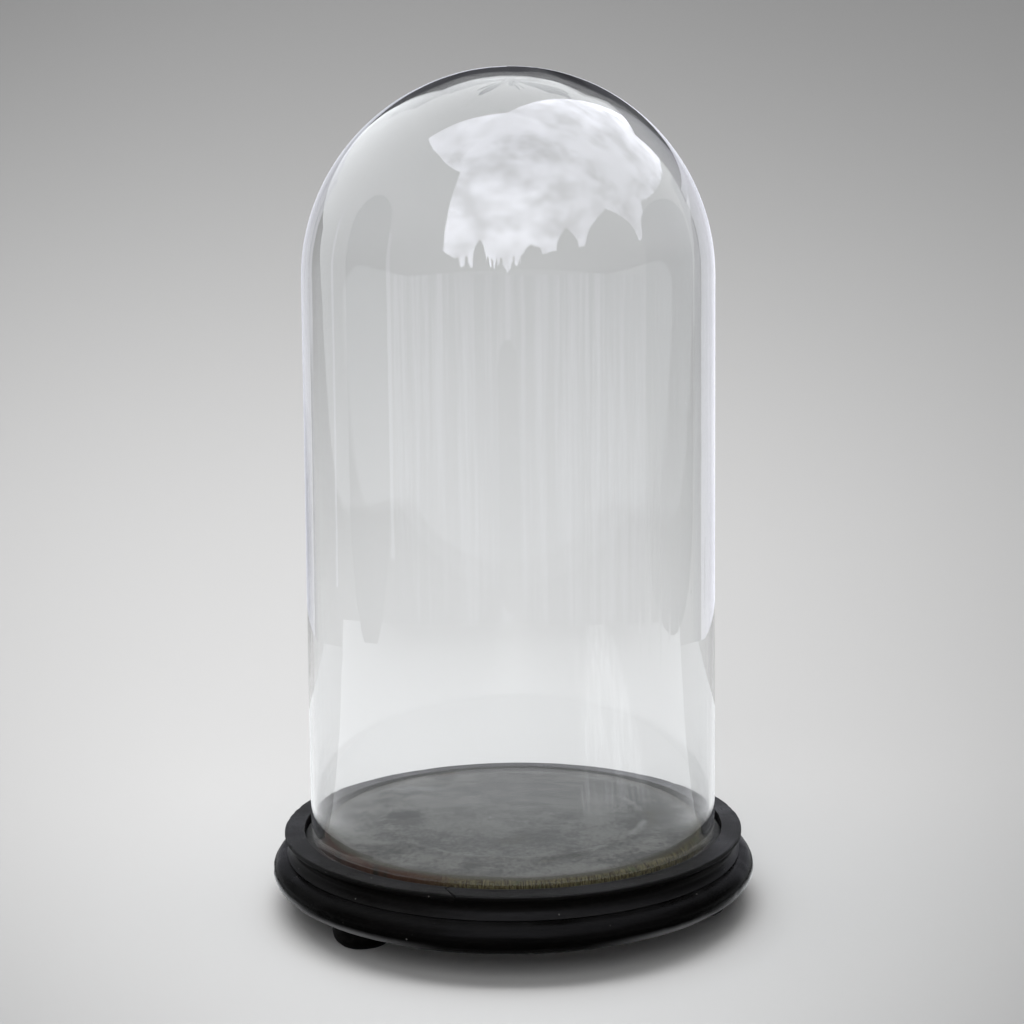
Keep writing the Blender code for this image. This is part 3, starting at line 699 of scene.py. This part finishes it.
# countersinks under the board, where the CAD's screws sit
screw_names = sorted(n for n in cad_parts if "_screw_" in n)
cut = bmesh.new()
for name in screw_names:
    lo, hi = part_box(name)
    centre = Vector(((lo.x + hi.x) / 2, (lo.y + hi.y) / 2, 0.0))
    head_z = lo.z
    rings = [
        (head_z - 2.0 * MM, 4.35 * MM),
        (head_z + 0.3 * MM, 4.35 * MM),
        (head_z + 2.6 * MM, 2.4 * MM),
        (head_z + 9.0 * MM, 2.4 * MM),
    ]
    loops = [
        [cut.verts.new((centre.x + r * math.cos(TAU * k / 28), centre.y + r * math.sin(TAU * k / 28), z)) for k in range(28)]
        for z, r in rings
    ]
    for low, high in zip(loops, loops[1:]):
        for k in range(28):
            n = (k + 1) % 28
            cut.faces.new((low[k], low[n], high[n], high[k]))
    cut.faces.new(list(reversed(loops[0])))
    cut.faces.new(loops[-1])
cut_mesh = bpy.data.meshes.new("countersinks")
cut.to_mesh(cut_mesh)
cut.free()
cutter = bpy.data.objects.new("countersinks", cut_mesh)
bpy.context.scene.collection.objects.link(cutter)
drill = board.modifiers.new("countersinks", "BOOLEAN")
drill.operation = "DIFFERENCE"
drill.solver = "EXACT"
drill.object = cutter
graph = bpy.context.evaluated_depsgraph_get()
drilled = bpy.data.meshes.new_from_object(board.evaluated_get(graph))
board.modifiers.clear()
board.data = drilled
drilled.name = "plinth_moulding"
bpy.data.objects.remove(cutter, do_unlink=True)
drilled.shade_smooth()
drilled.set_sharp_from_angle(angle=math.radians(40.0))
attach(board, "base")
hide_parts("plinth_board")

# -------------------------------------------------------------------- feet


def foot_outline():
    height = 16.7 * MM
    bulge = height * 0.52
    pts = [(0.0, 0.0), (4 * MM, 0.0), (8 * MM, 0.0), (11.4 * MM, 0.0)]
    pts += arc(12.0 * MM, bulge, 6.0 * MM, bulge, -84.0, 0.0, 16)
    pts += arc(13.0 * MM, bulge, 5.0 * MM, height - bulge, 0.0, 78.0, 12)[1:]
    pts += [(12.6 * MM, height), (9 * MM, height), (0.0, height)]
    return pts


for foot_name, seed in (("foot_left", 1.0), ("foot_right", 2.0), ("foot_back", 3.0)):
    lo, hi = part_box(foot_name)
    cx, cy = (lo.x + hi.x) / 2, (lo.y + hi.y) / 2

    def foot_warp(co, r, z, t, cx=cx, cy=cy, seed=seed):
        n = co.copy()
        dents = np.minimum(noise_at(co, 160.0, 30.0 + seed) + 0.15, 0.0) * 0.0008
        n[:, 0] += np.cos(t) * dents * smooth(0.010, 0.014, r)
        n[:, 1] += np.sin(t) * dents * smooth(0.010, 0.014, r)
        n[:, 0] += cx
        n[:, 1] += cy
        return n

    def foot_wear(r, z, t):
        return {"wear": np.clip(smooth(0.0155, 0.0178, r) * 0.7 + (1 - smooth(0.0, 0.002, z)) * 0.9, 0, 1)}

    foot = lathe(foot_name + "_turned", foot_outline(), even(96), False, foot_warp, foot_wear)
    give(foot, FOOT_WOOD)
    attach(foot, "base")
    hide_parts(foot_name)

# ---------------------------------------------------------- platform cloth

CLOTH_UNDER = CLOTH_TOP - 1.0 * MM


def cloth_height(x, y):
    """How far the nap and its wrinkles stand off the flat, in metres."""
    r = np.hypot(x, y)
    t = np.arctan2(y, x)
    p = np.stack([x, y, np.zeros_like(x)], -1)
    h = noise_at(p, 16.0, 1.0, 3) * 0.00028
    h += noise_at(p, (90.0, 120.0, 1.0), 2.0, 2) * 0.00010
    # the pressed ring
    rr = np.hypot(x - 0.0012, y + 0.0025) + noise_at(p, 26.0, 6.0) * 0.0011
    side = 0.35 + 0.65 * smooth(-0.05, 0.075, x - 0.5 * y)
    h += np.exp(-(((rr - 0.0805) / 0.0022) ** 2)) * 0.00034 * side
    h -= np.exp(-(((rr - 0.0866) / 0.0034) ** 2)) * 0.00022 * side
    # a low wave where the cloth has let go of the board near its back edge
    wave = np.exp(-(((r - 0.1015 - 0.003 * np.sin(3 * t + 0.7)) / 0.0045) ** 2))
    h += wave * smooth(0.03, 0.09, y) * 0.0006
    h -= np.exp(-(((r - 0.1100) / 0.0035) ** 2)) * smooth(0.02, 0.09, y) * 0.00035
    # a short sharp crease at the back left
    u = (x + 0.066) * 0.75 + (y - 0.060) * -0.66
    v = (x + 0.066) * 0.66 + (y - 0.060) * 0.75
    h += np.exp(-((v / 0.0026) ** 2) - (u / 0.016) ** 2) * 0.0011
    h -= np.exp(-(((v + 0.006) / 0.0035) ** 2) - (u / 0.018) ** 2) * 0.0004
    u2, v2 = x + 0.0515, y - 0.1035
    h -= np.exp(-((u2 / 0.009) ** 2) - (v2 / 0.008) ** 2) * 0.0011
    return np.clip(h, -0.0006, 0.0013) * smooth(0.1186, 0.1130, r) + np.where(r > 0.1130, np.clip(h, -0.0006, 0.0) * 0.7, 0.0) * smooth(0.1130, 0.1150, r)


def cloth_outline():
    outer, inner = CLOTH_R, CLOTH_R - 1.0 * MM
    top, hem = CLOTH_TOP, cloth_lo.z
    radii = list(np.linspace(1.5 * MM, outer - 4.6 * MM, 78))
    pts = [(0.0, top)] + [(r, top) for r in radii]
    pts += arc(outer - 4.4 * MM, top - 4.4 * MM, 4.4 * MM, 4.4 * MM, 86.0, 0.0, 12)
    pts += [(outer, z) for z in np.linspace(top - 5.2 * MM, hem, 6)]
    pts += [(outer - 0.5 * MM, hem - 0.0 * MM), (inner, hem + 0.05 * MM)]
    pts += [(inner, z) for z in np.linspace(hem + 1.5 * MM, CLOTH_UNDER - 0.8 * MM, 4)]
    pts += [(inner - 0.8 * MM, CLOTH_UNDER), (80 * MM, CLOTH_UNDER), (0.0, CLOTH_UNDER)]
    return pts


def cloth_warp(co, r, z, t):
    n = co.copy()
    is_top = z > CLOTH_TOP - 0.00002
    rise = cloth_height(co[:, 0], co[:, 1])
    n[:, 2] += np.where(is_top, rise - 0.00025, -0.00025 * smooth(CLOTH_UNDER, CLOTH_TOP, z))
    # the skirt puckers and its hem wanders
    skirt = smooth(CLOTH_R - 0.0004, CLOTH_R - 0.0001, r)
    around = np.stack([np.cos(t) * 0.119, np.sin(t) * 0.119, z], -1)
    pucker = noise_at(around, (130.0, 130.0, 60.0), 17.0, 2) * 0.00022 * skirt
    n[:, 0] += np.cos(t) * pucker
    n[:, 1] += np.sin(t) * pucker
    low = 1.0 - smooth(cloth_lo.z, cloth_lo.z + 0.003, z)
    n[:, 2] += np.abs(noise_at(around, (60.0, 60.0, 0.0), 19.0, 2)) * 0.0009 * low
    return n


cloth = lathe("velvet_top", cloth_outline(), even(256), False, cloth_warp)
give(cloth, VELVET)
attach(cloth, "base")
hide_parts("platform_cloth")

# frayed pile that stands off the skirt and the edge of the top


def strand(bm, root, tip, bend, width):
    """A tapering three-sided hair from root to tip, bowed by bend."""
    axis = (tip - root).normalized()
    side = axis.cross(Vector((0.3, 0.5, 0.8))).normalized()
    up = axis.cross(side)
    rows = []
    for f, w in ((0.0, 1.0), (0.5, 0.75)):
        mid = root.lerp(tip, f) + bend * math.sin(math.pi * f)
        rows.append(
            [bm.verts.new(mid + (side * math.cos(TAU * k / 3) + up * math.sin(TAU * k / 3)) * width * w) for k in range(3)]
        )
    end = bm.verts.new(tip)
    bm.faces.new(list(reversed(rows[0])))
    for k in range(3):
        n = (k + 1) % 3
        bm.faces.new((rows[0][k], rows[0][n], rows[1][n], rows[1][k]))
        bm.faces.new((rows[1][k], rows[1][n], end))


rng = np.random.default_rng(11)
bm = bmesh.new()
for i in range(3400):
    a = rng.uniform(0, TAU)
    patch = 0.55 + 0.9 * noise.noise(Vector((math.cos(a) * 9, math.sin(a) * 9, 1.0)))
    if rng.uniform() > patch:
        continue
    on_top = rng.uniform() < 0.35
    if on_top:
        r0 = CLOTH_R - rng.uniform(0.2, 1.6) * MM
        z0 = CLOTH_TOP - 0.45 * MM
        d = Vector((math.cos(a) * 0.5, math.sin(a) * 0.5, 0.75))
    else:
        r0 = CLOTH_R - 0.12 * MM
        z0 = rng.uniform(CLOTH_TOP - 6.0 * MM, CLOTH_TOP - 0.8 * MM)
        d = Vector((math.cos(a), math.sin(a), rng.uniform(-0.5, 0.9)))
    swing = rng.normal(0, 0.7)
    d += Vector((-math.sin(a), math.cos(a), 0)) * swing
    length = (rng.uniform(0.25, 0.75) if on_top else rng.uniform(0.4, 1.5)) * MM
    root = Vector((math.cos(a) * r0, math.sin(a) * r0, z0))
    tip = root + d.normalized() * length
    bend = Vector(rng.normal(0, 1, 3)).normalized() * length * 0.18
    strand(bm, root, tip, bend, rng.uniform(0.022, 0.045) * MM)
fray_mesh = bpy.data.meshes.new("velvet_fray")
bm.to_mesh(fray_mesh)
bm.free()
fray_mesh.shade_smooth()
fray = bpy.data.objects.new("velvet_fray", fray_mesh)
bpy.context.scene.collection.objects.link(fray)
t = Tree("velvet_fibres")
tone = t.noise(240.0, 3.0, 0.6)
fibre_colour = t.mix(t.remap(tone, 0.38, 0.62), (0.030, 0.025, 0.011), (0.15, 0.13, 0.075))
FRAY = t.finish(
    t.principled(
        Base_Color=fibre_colour, Roughness=t.remap(tone, 0.3, 0.7, 0.7, 0.95, "LINEAR"), Sheen_Weight=0.1, Specular_IOR_Level=0.2
    )
)
give(fray, FRAY)
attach(fray, "base")

# --------------------------------------------------------------- felt ring


def felt_outline():
    bottom, top = felt_lo.z, felt_hi.z
    r0, r1 = 119.75 * MM, 129.85 * MM
    pts = [(r0, bottom + 0.2 * MM), (r0 + 0.15 * MM, bottom)]
    pts += [(r, bottom) for r in np.linspace(r0 + 2 * MM, r1 - 2 * MM, 3)]
    pts += [(r1 - 0.15 * MM, bottom), (r1, bottom + 0.2 * MM), (r1, top - 0.3 * MM), (r1 - 0.3 * MM, top - 0.05 * MM)]
    pts += [(r, top) for r in np.linspace(r1 - 0.8 * MM, r0 + 0.8 * MM, 11)]
    pts += [(r0 + 0.3 * MM, top - 0.05 * MM), (r0, top - 0.3 * MM)]
    return pts


def felt_warp(co, r, z, t):
    n = co.copy()
    lump = noise_at(co, (190.0, 190.0, 30.0), 41.0, 3)
    # the glass has pressed a track into it
    under = smooth(0.1228, 0.1240, r) * smooth(0.1285, 0.1272, r)
    is_top = z > felt_hi.z - 0.00006
    n[:, 2] += np.where(is_top, lump * 0.00030 - under * 0.0002 - 0.00005, 0.0)
    ragged = noise_at(co, (300.0, 300.0, 100.0), 43.0, 2) * 0.00022
    outward = np.where(r > 0.1295, 1.0, np.where(r < 0.1201, -1.0, 0.0))
    n[:, 0] += np.cos(t) * np.minimum(ragged, 0.0001) * outward
    n[:, 1] += np.sin(t) * np.minimum(ragged, 0.0001) * outward
    return n


felt = lathe("felt_ring", felt_outline(), even(300), True, felt_warp)
give(felt, FELT)
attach(felt, "base")
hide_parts("groove_felt")

# ------------------------------------------------------- CAD nodes that stay

give(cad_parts["platform_disc"], BARE)
for name in screw_names:
    give(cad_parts[name], STEEL)

# ------------------------------------------------------------------- stage


def stage_mesh():
    """A floor that sweeps up into a wall behind the object."""
    rows = [(y, 0.0) for y in np.linspace(-1.7, 0.3, 16)]
    rows += [(0.3 + 2.3 * f, 1.75 * f**3.1) for f in np.linspace(0.03, 1.0, 56)]
    xs = np.linspace(-3.6, 3.6, 30)
    verts = [(float(x), float(y), float(z)) for y, z in rows for x in xs]
    n = len(xs)
    faces = [
        (i * n + j, i * n + j + 1, (i + 1) * n + j + 1, (i + 1) * n + j)
        for i in range(len(rows) - 1)
        for j in range(n - 1)
    ]
    mesh = bpy.data.meshes.new("stage")
    mesh.from_pydata(verts, [], faces)
    mesh.shade_smooth()
    return mesh


floor = bpy.data.objects.new("stage", stage_mesh())
bpy.context.scene.collection.objects.link(floor)
# the paper is painted with the light's fall-off: palest low down behind the object, greyer towards the top and the
# right
t = Tree("stage_painted_falloff")
parts = t.node("ShaderNodeSeparateXYZ", {0: t.coord}).outputs
depth = t.math("MAXIMUM", t.math("ADD", parts[1], 0.8393), 0.5)
gu = t.math("DIVIDE", parts[0], depth)
gv = t.math("DIVIDE", t.math("SUBTRACT", parts[2], 0.3005), depth)
gu = t.math("MAXIMUM", t.math("MINIMUM", gu, 0.40), -0.40)
gv = t.math("MAXIMUM", t.math("MINIMUM", gv, 0.34), -0.47)
BACKDROP_LIGHT_FALLOFF = [(0, 0, -0.7011), (1, 0, -0.1337), (0, 1, -1.4665), (2, 0, -0.3738), (1, 1, 0.3408), (0, 2, -2.8489), (0, 3, 3.6277), (2, 1, 4.0962), (1, 2, 0.5395), (0, 4, 7.5881)]
total = None
for pu, pv, k in BACKDROP_LIGHT_FALLOFF:
    term = k
    if pu:
        term = t.math("MULTIPLY", term, t.math("POWER", gu, pu) if pu > 1 else gu)
    if pv:
        term = t.math("MULTIPLY", term, t.math("POWER", gv, pv) if pv > 1 else gv)
    if not (pu or pv):
        term = t.math("ADD", k, 0.0)
    total = term if total is None else t.math("ADD", total, term)
tone = t.math("EXPONENT", total)
paper = t.tint((1.0, 0.998, 0.998), tone)
give(floor, t.finish(t.principled(Base_Color=paper, Roughness=1.0, Specular_IOR_Level=0.0)))

# ------------------------------------------------------------------ lights

world = bpy.data.worlds.new("studio")
bpy.context.scene.world = world
world.use_nodes = True
background = world.node_tree.nodes["Background"]
wt = world.node_tree
sky_dir = wt.nodes.new("ShaderNodeTexCoord").outputs["Generated"]
sky_z = wt.nodes.new("ShaderNodeSeparateXYZ")
wt.links.new(sky_dir, sky_z.inputs[0])
sky_ramp = wt.nodes.new("ShaderNodeMapRange")
sky_ramp.interpolation_type = "SMOOTHSTEP"
wt.links.new(sky_z.outputs[2], sky_ramp.inputs["Value"])
for key, value in (("From Min", 0.02), ("From Max", 0.75), ("To Min", 0.70), ("To Max", 1.45)):
    sky_ramp.inputs[key].default_value = value
wt.links.new(sky_ramp.outputs[0], background.inputs["Strength"])
background.inputs["Color"].default_value = (0.95, 0.975, 1.0, 1.0)
world.cycles_visibility.diffuse = False


def area(name, at, towards, size, power, colour=(1, 1, 1)):
    data = bpy.data.lights.new(name, "AREA")
    data.shape = "RECTANGLE"
    data.size, data.size_y = size
    data.energy = power
    data.color = colour
    obj = bpy.data.objects.new(name, data)
    bpy.context.scene.collection.objects.link(obj)
    obj.location = at
    obj.rotation_euler = (Vector(towards) - Vector(at)).to_track_quat("-Z", "Y").to_euler()
    obj.visible_camera = False
    obj.visible_transmission = False
    obj.visible_glossy = False
    return obj


area("top_soft", (-0.25, 0.25, 2.4), (0, 0.1, 0.0), (2.7, 2.5), 66.0)
area("fill", (-0.3, -2.4, 2.0), (0, 0.0, 0.0), (2.4, 1.6), 42.0)
area("low_front", (0.2, -3.0, 0.75), (0, 0.0, 0.0), (2.4, 0.7), 16.0)
area("wall_wash", (0.0, -0.4, 3.2), (0, 2.3, 1.0), (4.0, 1.0), 44.0)

# ------------------------------------------- cards and flags for the gloss


def direction(az, el):
    """Azimuth 0 is towards the front, 90 to the right."""
    a, e = math.radians(az), math.radians(el)
    return Vector((math.sin(a) * math.cos(e), -math.cos(a) * math.cos(e), math.sin(e)))


def card(name, az0, az1, low, high, radius, emission, centre=(0, 0, 0.30), columns=80):
    """A patch of a sphere about the glass between two azimuths. low and high give the elevation
    at an azimuth. emission is a number, or a function that makes a socket."""
    verts, faces = [], []
    rows = 12
    for i in range(columns + 1):
        az = az0 + (az1 - az0) * i / columns
        lo_e = low(az) if callable(low) else low
        hi_e = high(az) if callable(high) else high
        for j in range(rows + 1):
            verts.append(Vector(centre) + direction(az, lo_e + (hi_e - lo_e) * j / rows) * radius)
    for i in range(columns):
        for j in range(rows):
            a = i * (rows + 1) + j
            faces.append((a, a + 1, a + rows + 2, a + rows + 1))
    mesh = bpy.data.meshes.new(name)
    mesh.from_pydata([tuple(v) for v in verts], [], faces)
    obj = bpy.data.objects.new(name, mesh)
    bpy.context.scene.collection.objects.link(obj)
    t = Tree(name + "_paper")
    strength = emission(t) if callable(emission) else emission
    shader = t.node("ShaderNodeEmission", {"Color": (0.93, 0.945, 1.05, 1.0), "Strength": strength}).outputs[0]
    give(obj, t.finish(shader))
    obj.data.materials[0].cycles.emission_sampling = "NONE"
    obj.visible_camera = False
    obj.visible_diffuse = False
    obj.visible_volume_scatter = False
    obj.visible_shadow = False
    return obj


def pill(az0, az1, el0, el1, round_el):
    """Elevation limits of an upright strip with rounded ends."""

    def reach(az):
        u = min(1.0, abs((az - (az0 + az1) / 2) / ((az1 - az0) / 2)))
        return round_el * (1.0 - math.sqrt(max(0.0, 1.0 - u * u)))

    return (lambda az: el0 + reach(az)), (lambda az: el1 - reach(az))


def between(x, table):
    """Straight lines between (x, y) pairs."""
    xs, ys = zip(*table)
    return float(np.interp(x, xs, ys))


def tree_line(az):
    """The lower edge of the bright window: a far line of trees, a hedge and a tall tree to the right."""
    hedge = between(az, ((-34, 11.5), (-26, 8.0), (0, 7.6), (12, 9.0), (34, 12.0), (44, 14.0), (75, 16.0), (84, 30.0), (142, 37.0)))
    fine = abs(noise.noise(Vector((az * 0.45, 3.0, 0.0)))) * 2.6 + abs(noise.noise(Vector((az * 1.7, 7.0, 0.0)))) * 1.2
    tall = 0.0
    for c, w, h, p in ((-14.5, 3.4, 9.5, 0.7), (13.0, 5.0, 4.5, 0.4), (31.0, 6.0, 10.5, 0.5), (57.0, 16.0, 15.0, 0.45)):
        tall = max(tall, h * max(0.0, 1.0 - abs(az - c) / w) ** p)
    return hedge + fine + tall


def clouds(base, front):
    """Broken cloud: brightest low in front, thinner overhead and to the right."""

    def made(t):
        parts = t.node("ShaderNodeSeparateXYZ", {0: t.coord}).outputs
        puffs = t.noise(1.3, 6.0, 0.62, t.mapped((1, 1, 1.6), (2, 0, 0)))
        puffs = t.remap(puffs, 0.38, 0.60, 0.60, 1.22, "LINEAR")
        near = t.remap(parts[1], -2.9, -0.4, 1.0, 0.0)
        side = t.remap(parts[0], -1.2, 2.2, 1.0, 0.35)
        lit = t.math("MULTIPLY_ADD", t.math("MULTIPLY", near, side), front - base, base)
        lit = t.math("MULTIPLY", lit, t.remap(parts[0], 0.4, 2.7, 1.0, 0.62))
        return t.math("MULTIPLY", puffs, lit)

    return made


sky = card("window_sky", -33.0, 142.0, tree_line, 89.6, 3.0, clouds(5.9, 8.5), columns=260)
sky.visible_transmission = False
sky = card("window_left", -86.0, -33.0, lambda az: between(az, ((-86, 62), (-60, 58), (-33, 51))), 89.6, 3.0, clouds(5.9, 9.0), columns=40)
sky.visible_transmission = False


def deepening(at_top, at_bottom, low_el, high_el, radius):
    """Emission that changes with height up a card."""

    def made(t):
        parts = t.node("ShaderNodeSeparateXYZ", {0: t.coord}).outputs
        z0, z1 = (0.30 + radius * math.sin(math.radians(e)) for e in (low_el, high_el))
        wave = t.math("MULTIPLY", t.math("SUBTRACT", t.noise(3.0, 3.0), 0.5), 0.3)
        return t.remap(t.math("ADD", parts[2], wave), z0, z1, at_bottom, at_top)

    return made


front_cards = []
low, high = pill(-92.0, -63.5, -15.0, 37.0, 12.0)
front_cards.append(card("flag_left", -92.0, -63.5, low, high, 1.2, deepening(0.40, 0.0, 2.0, 24.0, 1.2)))
low, high = pill(74.0, 113.0, -14.4, 32.0, 9.0)
front_cards.append(card("flag_right", 74.0, 113.0, low, high, 1.15, deepening(0.60, 0.0, 0.0, 22.0, 1.15)))
low, high = pill(-5.5, 5.0, -12.0, 5.0, 2.0)
front_cards.append(card("flag_middle", -5.5, 5.0, low, high, 1.3, 0.08))
front_cards.append(card("line_left", -63.5, -61.4, -9.0, 22.0, 1.21, 1.55))
front_cards.append(card("line_far_left", -105.6, -103.6, -11.0, 30.0, 1.21, 1.35))
card("flag_back", 150.0, 203.0, 24.0, 53.0, 1.9, 0.07)
card("flag_back_right", 126.0, 150.0, 24.0, 46.0, 1.92, 0.30)


def streaks(base, gain):
    """Upright streaks, as far trees and wet glass make."""

    def made(t):
        rr, zz, ang = t.polar()
        at = t.node("ShaderNodeCombineXYZ", {0: t.math("MULTIPLY", ang, 14.0), 1: t.math("MULTIPLY", zz, 1.6), 2: 0.5}).outputs[0]
        lines = t.noise(1.0, 5.0, 0.68, at)
        lit = t.math("ADD", base, t.math("MULTIPLY", t.remap(lines, 0.42, 0.66), gain))
        return t.math("MULTIPLY", lit, t.remap(zz, 0.05, 0.27, 0.60, 1.0))

    return made


front_cards.append(card("hedge", -60.0, 73.5, -12.5, 9.0, 1.35, streaks(0.42, 1.05)))

edges = [
    card("edge_left", -180.0, -134.5, -15.5, 34.0, 1.1, 1.0),
    card("edge_right", 123.5, 180.0, -15.5, 30.0, 1.1, 1.3),
    card("line_dark_left", -134.0, -128.5, -15.5, 32.0, 1.1, deepening(0.9, 0.35, 1.0, 7.0, 1.1)),
    card("line_dark_right", 114.5, 122.6, -15.5, 34.0, 1.1, deepening(0.75, 0.30, 3.0, 12.0, 1.1)),
]
# these show in the gloss only, so that none is seen straight through the glass from behind
for piece in edges + front_cards:
    piece.visible_transmission = False


def floor_glow(name, az0, az1, radii, made):
    """A card that lies on the floor about the base, seen only in the gloss."""
    azs = np.linspace(az0, az1, 70)
    verts = [(r * math.sin(math.radians(a)), -r * math.cos(math.radians(a)), 0.0015) for r in radii for a in azs]
    n = len(azs)
    faces = [(k * n + i, k * n + i + 1, (k + 1) * n + i + 1, (k + 1) * n + i) for k in range(len(radii) - 1) for i in range(n - 1)]
    mesh = bpy.data.meshes.new(name)
    mesh.from_pydata(verts, [], faces)
    obj = bpy.data.objects.new(name, mesh)
    bpy.context.scene.collection.objects.link(obj)
    t = Tree(name + "_paper")
    give(obj, t.finish(t.node("ShaderNodeEmission", {"Color": (0.95, 0.975, 1.0, 1.0), "Strength": made(t)}).outputs[0]))
    obj.data.materials[0].cycles.emission_sampling = "NONE"
    obj.visible_camera = False
    obj.visible_diffuse = False
    obj.visible_shadow = False
    return obj


FRONT_GAIN = 1.9


def glow_base(t):
    """Dark where the foot of the glass would mirror it, then pale. The dark part is wide in front and narrow behind."""
    rr, zz, ang = t.polar()
    y = t.node("ShaderNodeSeparateXYZ", {0: t.coord}).outputs[1]
    turn = t.math("ARCCOSINE", t.math("MULTIPLY", t.math("DIVIDE", y, rr), -0.999))
    reach = t.math("SUBTRACT", 0.31, t.math("MULTIPLY", t.math("MULTIPLY", turn, turn), 0.01358))
    q = t.math("DIVIDE", rr, reach)
    behind = t.remap(turn, 0.80, 2.00)
    front = t.math("SUBTRACT", t.remap(q, 0.98, 1.98, 0.0, 1.5), t.remap(rr, 0.70, 1.35, 0.0, 0.98))
    front = t.math("MULTIPLY", front, t.remap(rr, 1.10, 1.34, 1.0, 0.45))
    back = t.remap(q, 0.97, 1.14, 0.0, 1.06)
    # what the sides of the lower moulding mirror, close to the base
    close = t.math("MULTIPLY", t.remap(rr, 0.185, 0.205, 1.4, 0.0), t.remap(turn, 0.75, 1.45))
    both = t.math("ADD", t.math("MULTIPLY", front, t.math("SUBTRACT", 1.0, behind)), t.math("MULTIPLY", back, behind))
    return rr, ang, t.math("ADD", both, close)


def front_glow(t):
    """The base tone with a bright streaky wedge at the right."""
    rr, ang, strength = glow_base(t)
    strength = t.math("MULTIPLY", strength, FRONT_GAIN)
    at = t.node("ShaderNodeCombineXYZ", {0: t.math("MULTIPLY", ang, 30.0), 1: t.math("MULTIPLY", rr, 5.0), 2: 2.5}).outputs[0]
    lines = t.remap(t.noise(1.0, 5.0, 0.7, at), 0.40, 0.62)
    middle = t.math("MULTIPLY_ADD", rr, -0.10, -0.66)
    off = t.math("ABSOLUTE", t.math("SUBTRACT", ang, middle))
    spread = t.remap(rr, 0.42, 1.55, 0.34, 0.05, "LINEAR")
    wedge = t.remap(t.math("SUBTRACT", off, spread), -0.08, 0.03, 1.0, 0.0)
    wedge = t.math("MULTIPLY", wedge, t.remap(rr, 0.36, 0.46))
    wedge = t.math("MULTIPLY", wedge, t.math("MULTIPLY_ADD", lines, 0.75, 0.25))
    return t.math("ADD", strength, t.math("MULTIPLY", wedge, 0.85 * FRONT_GAIN))


def back_glow(t):
    return glow_base(t)[2]


glow = floor_glow("glow_front", -100.0, 100.0, [0.158, 0.3, 0.5, 0.8, 1.2, 1.34], front_glow)
glow.visible_transmission = False
for side in (-1, 1):
    glow = floor_glow("glow_back_%s" % ("left" if side < 0 else "right"), side * 100.0, side * 180.0, [0.158, 0.4, 1.0, 1.09], back_glow)
    glow.visible_transmission = False

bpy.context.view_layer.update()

scene = bpy.context.scene
scene.view_settings.view_transform = "Standard"
scene.cycles.max_bounces = 14
scene.cycles.transmission_bounces = 14
scene.cycles.glossy_bounces = 8
scene.cycles.transparent_max_bounces = 16
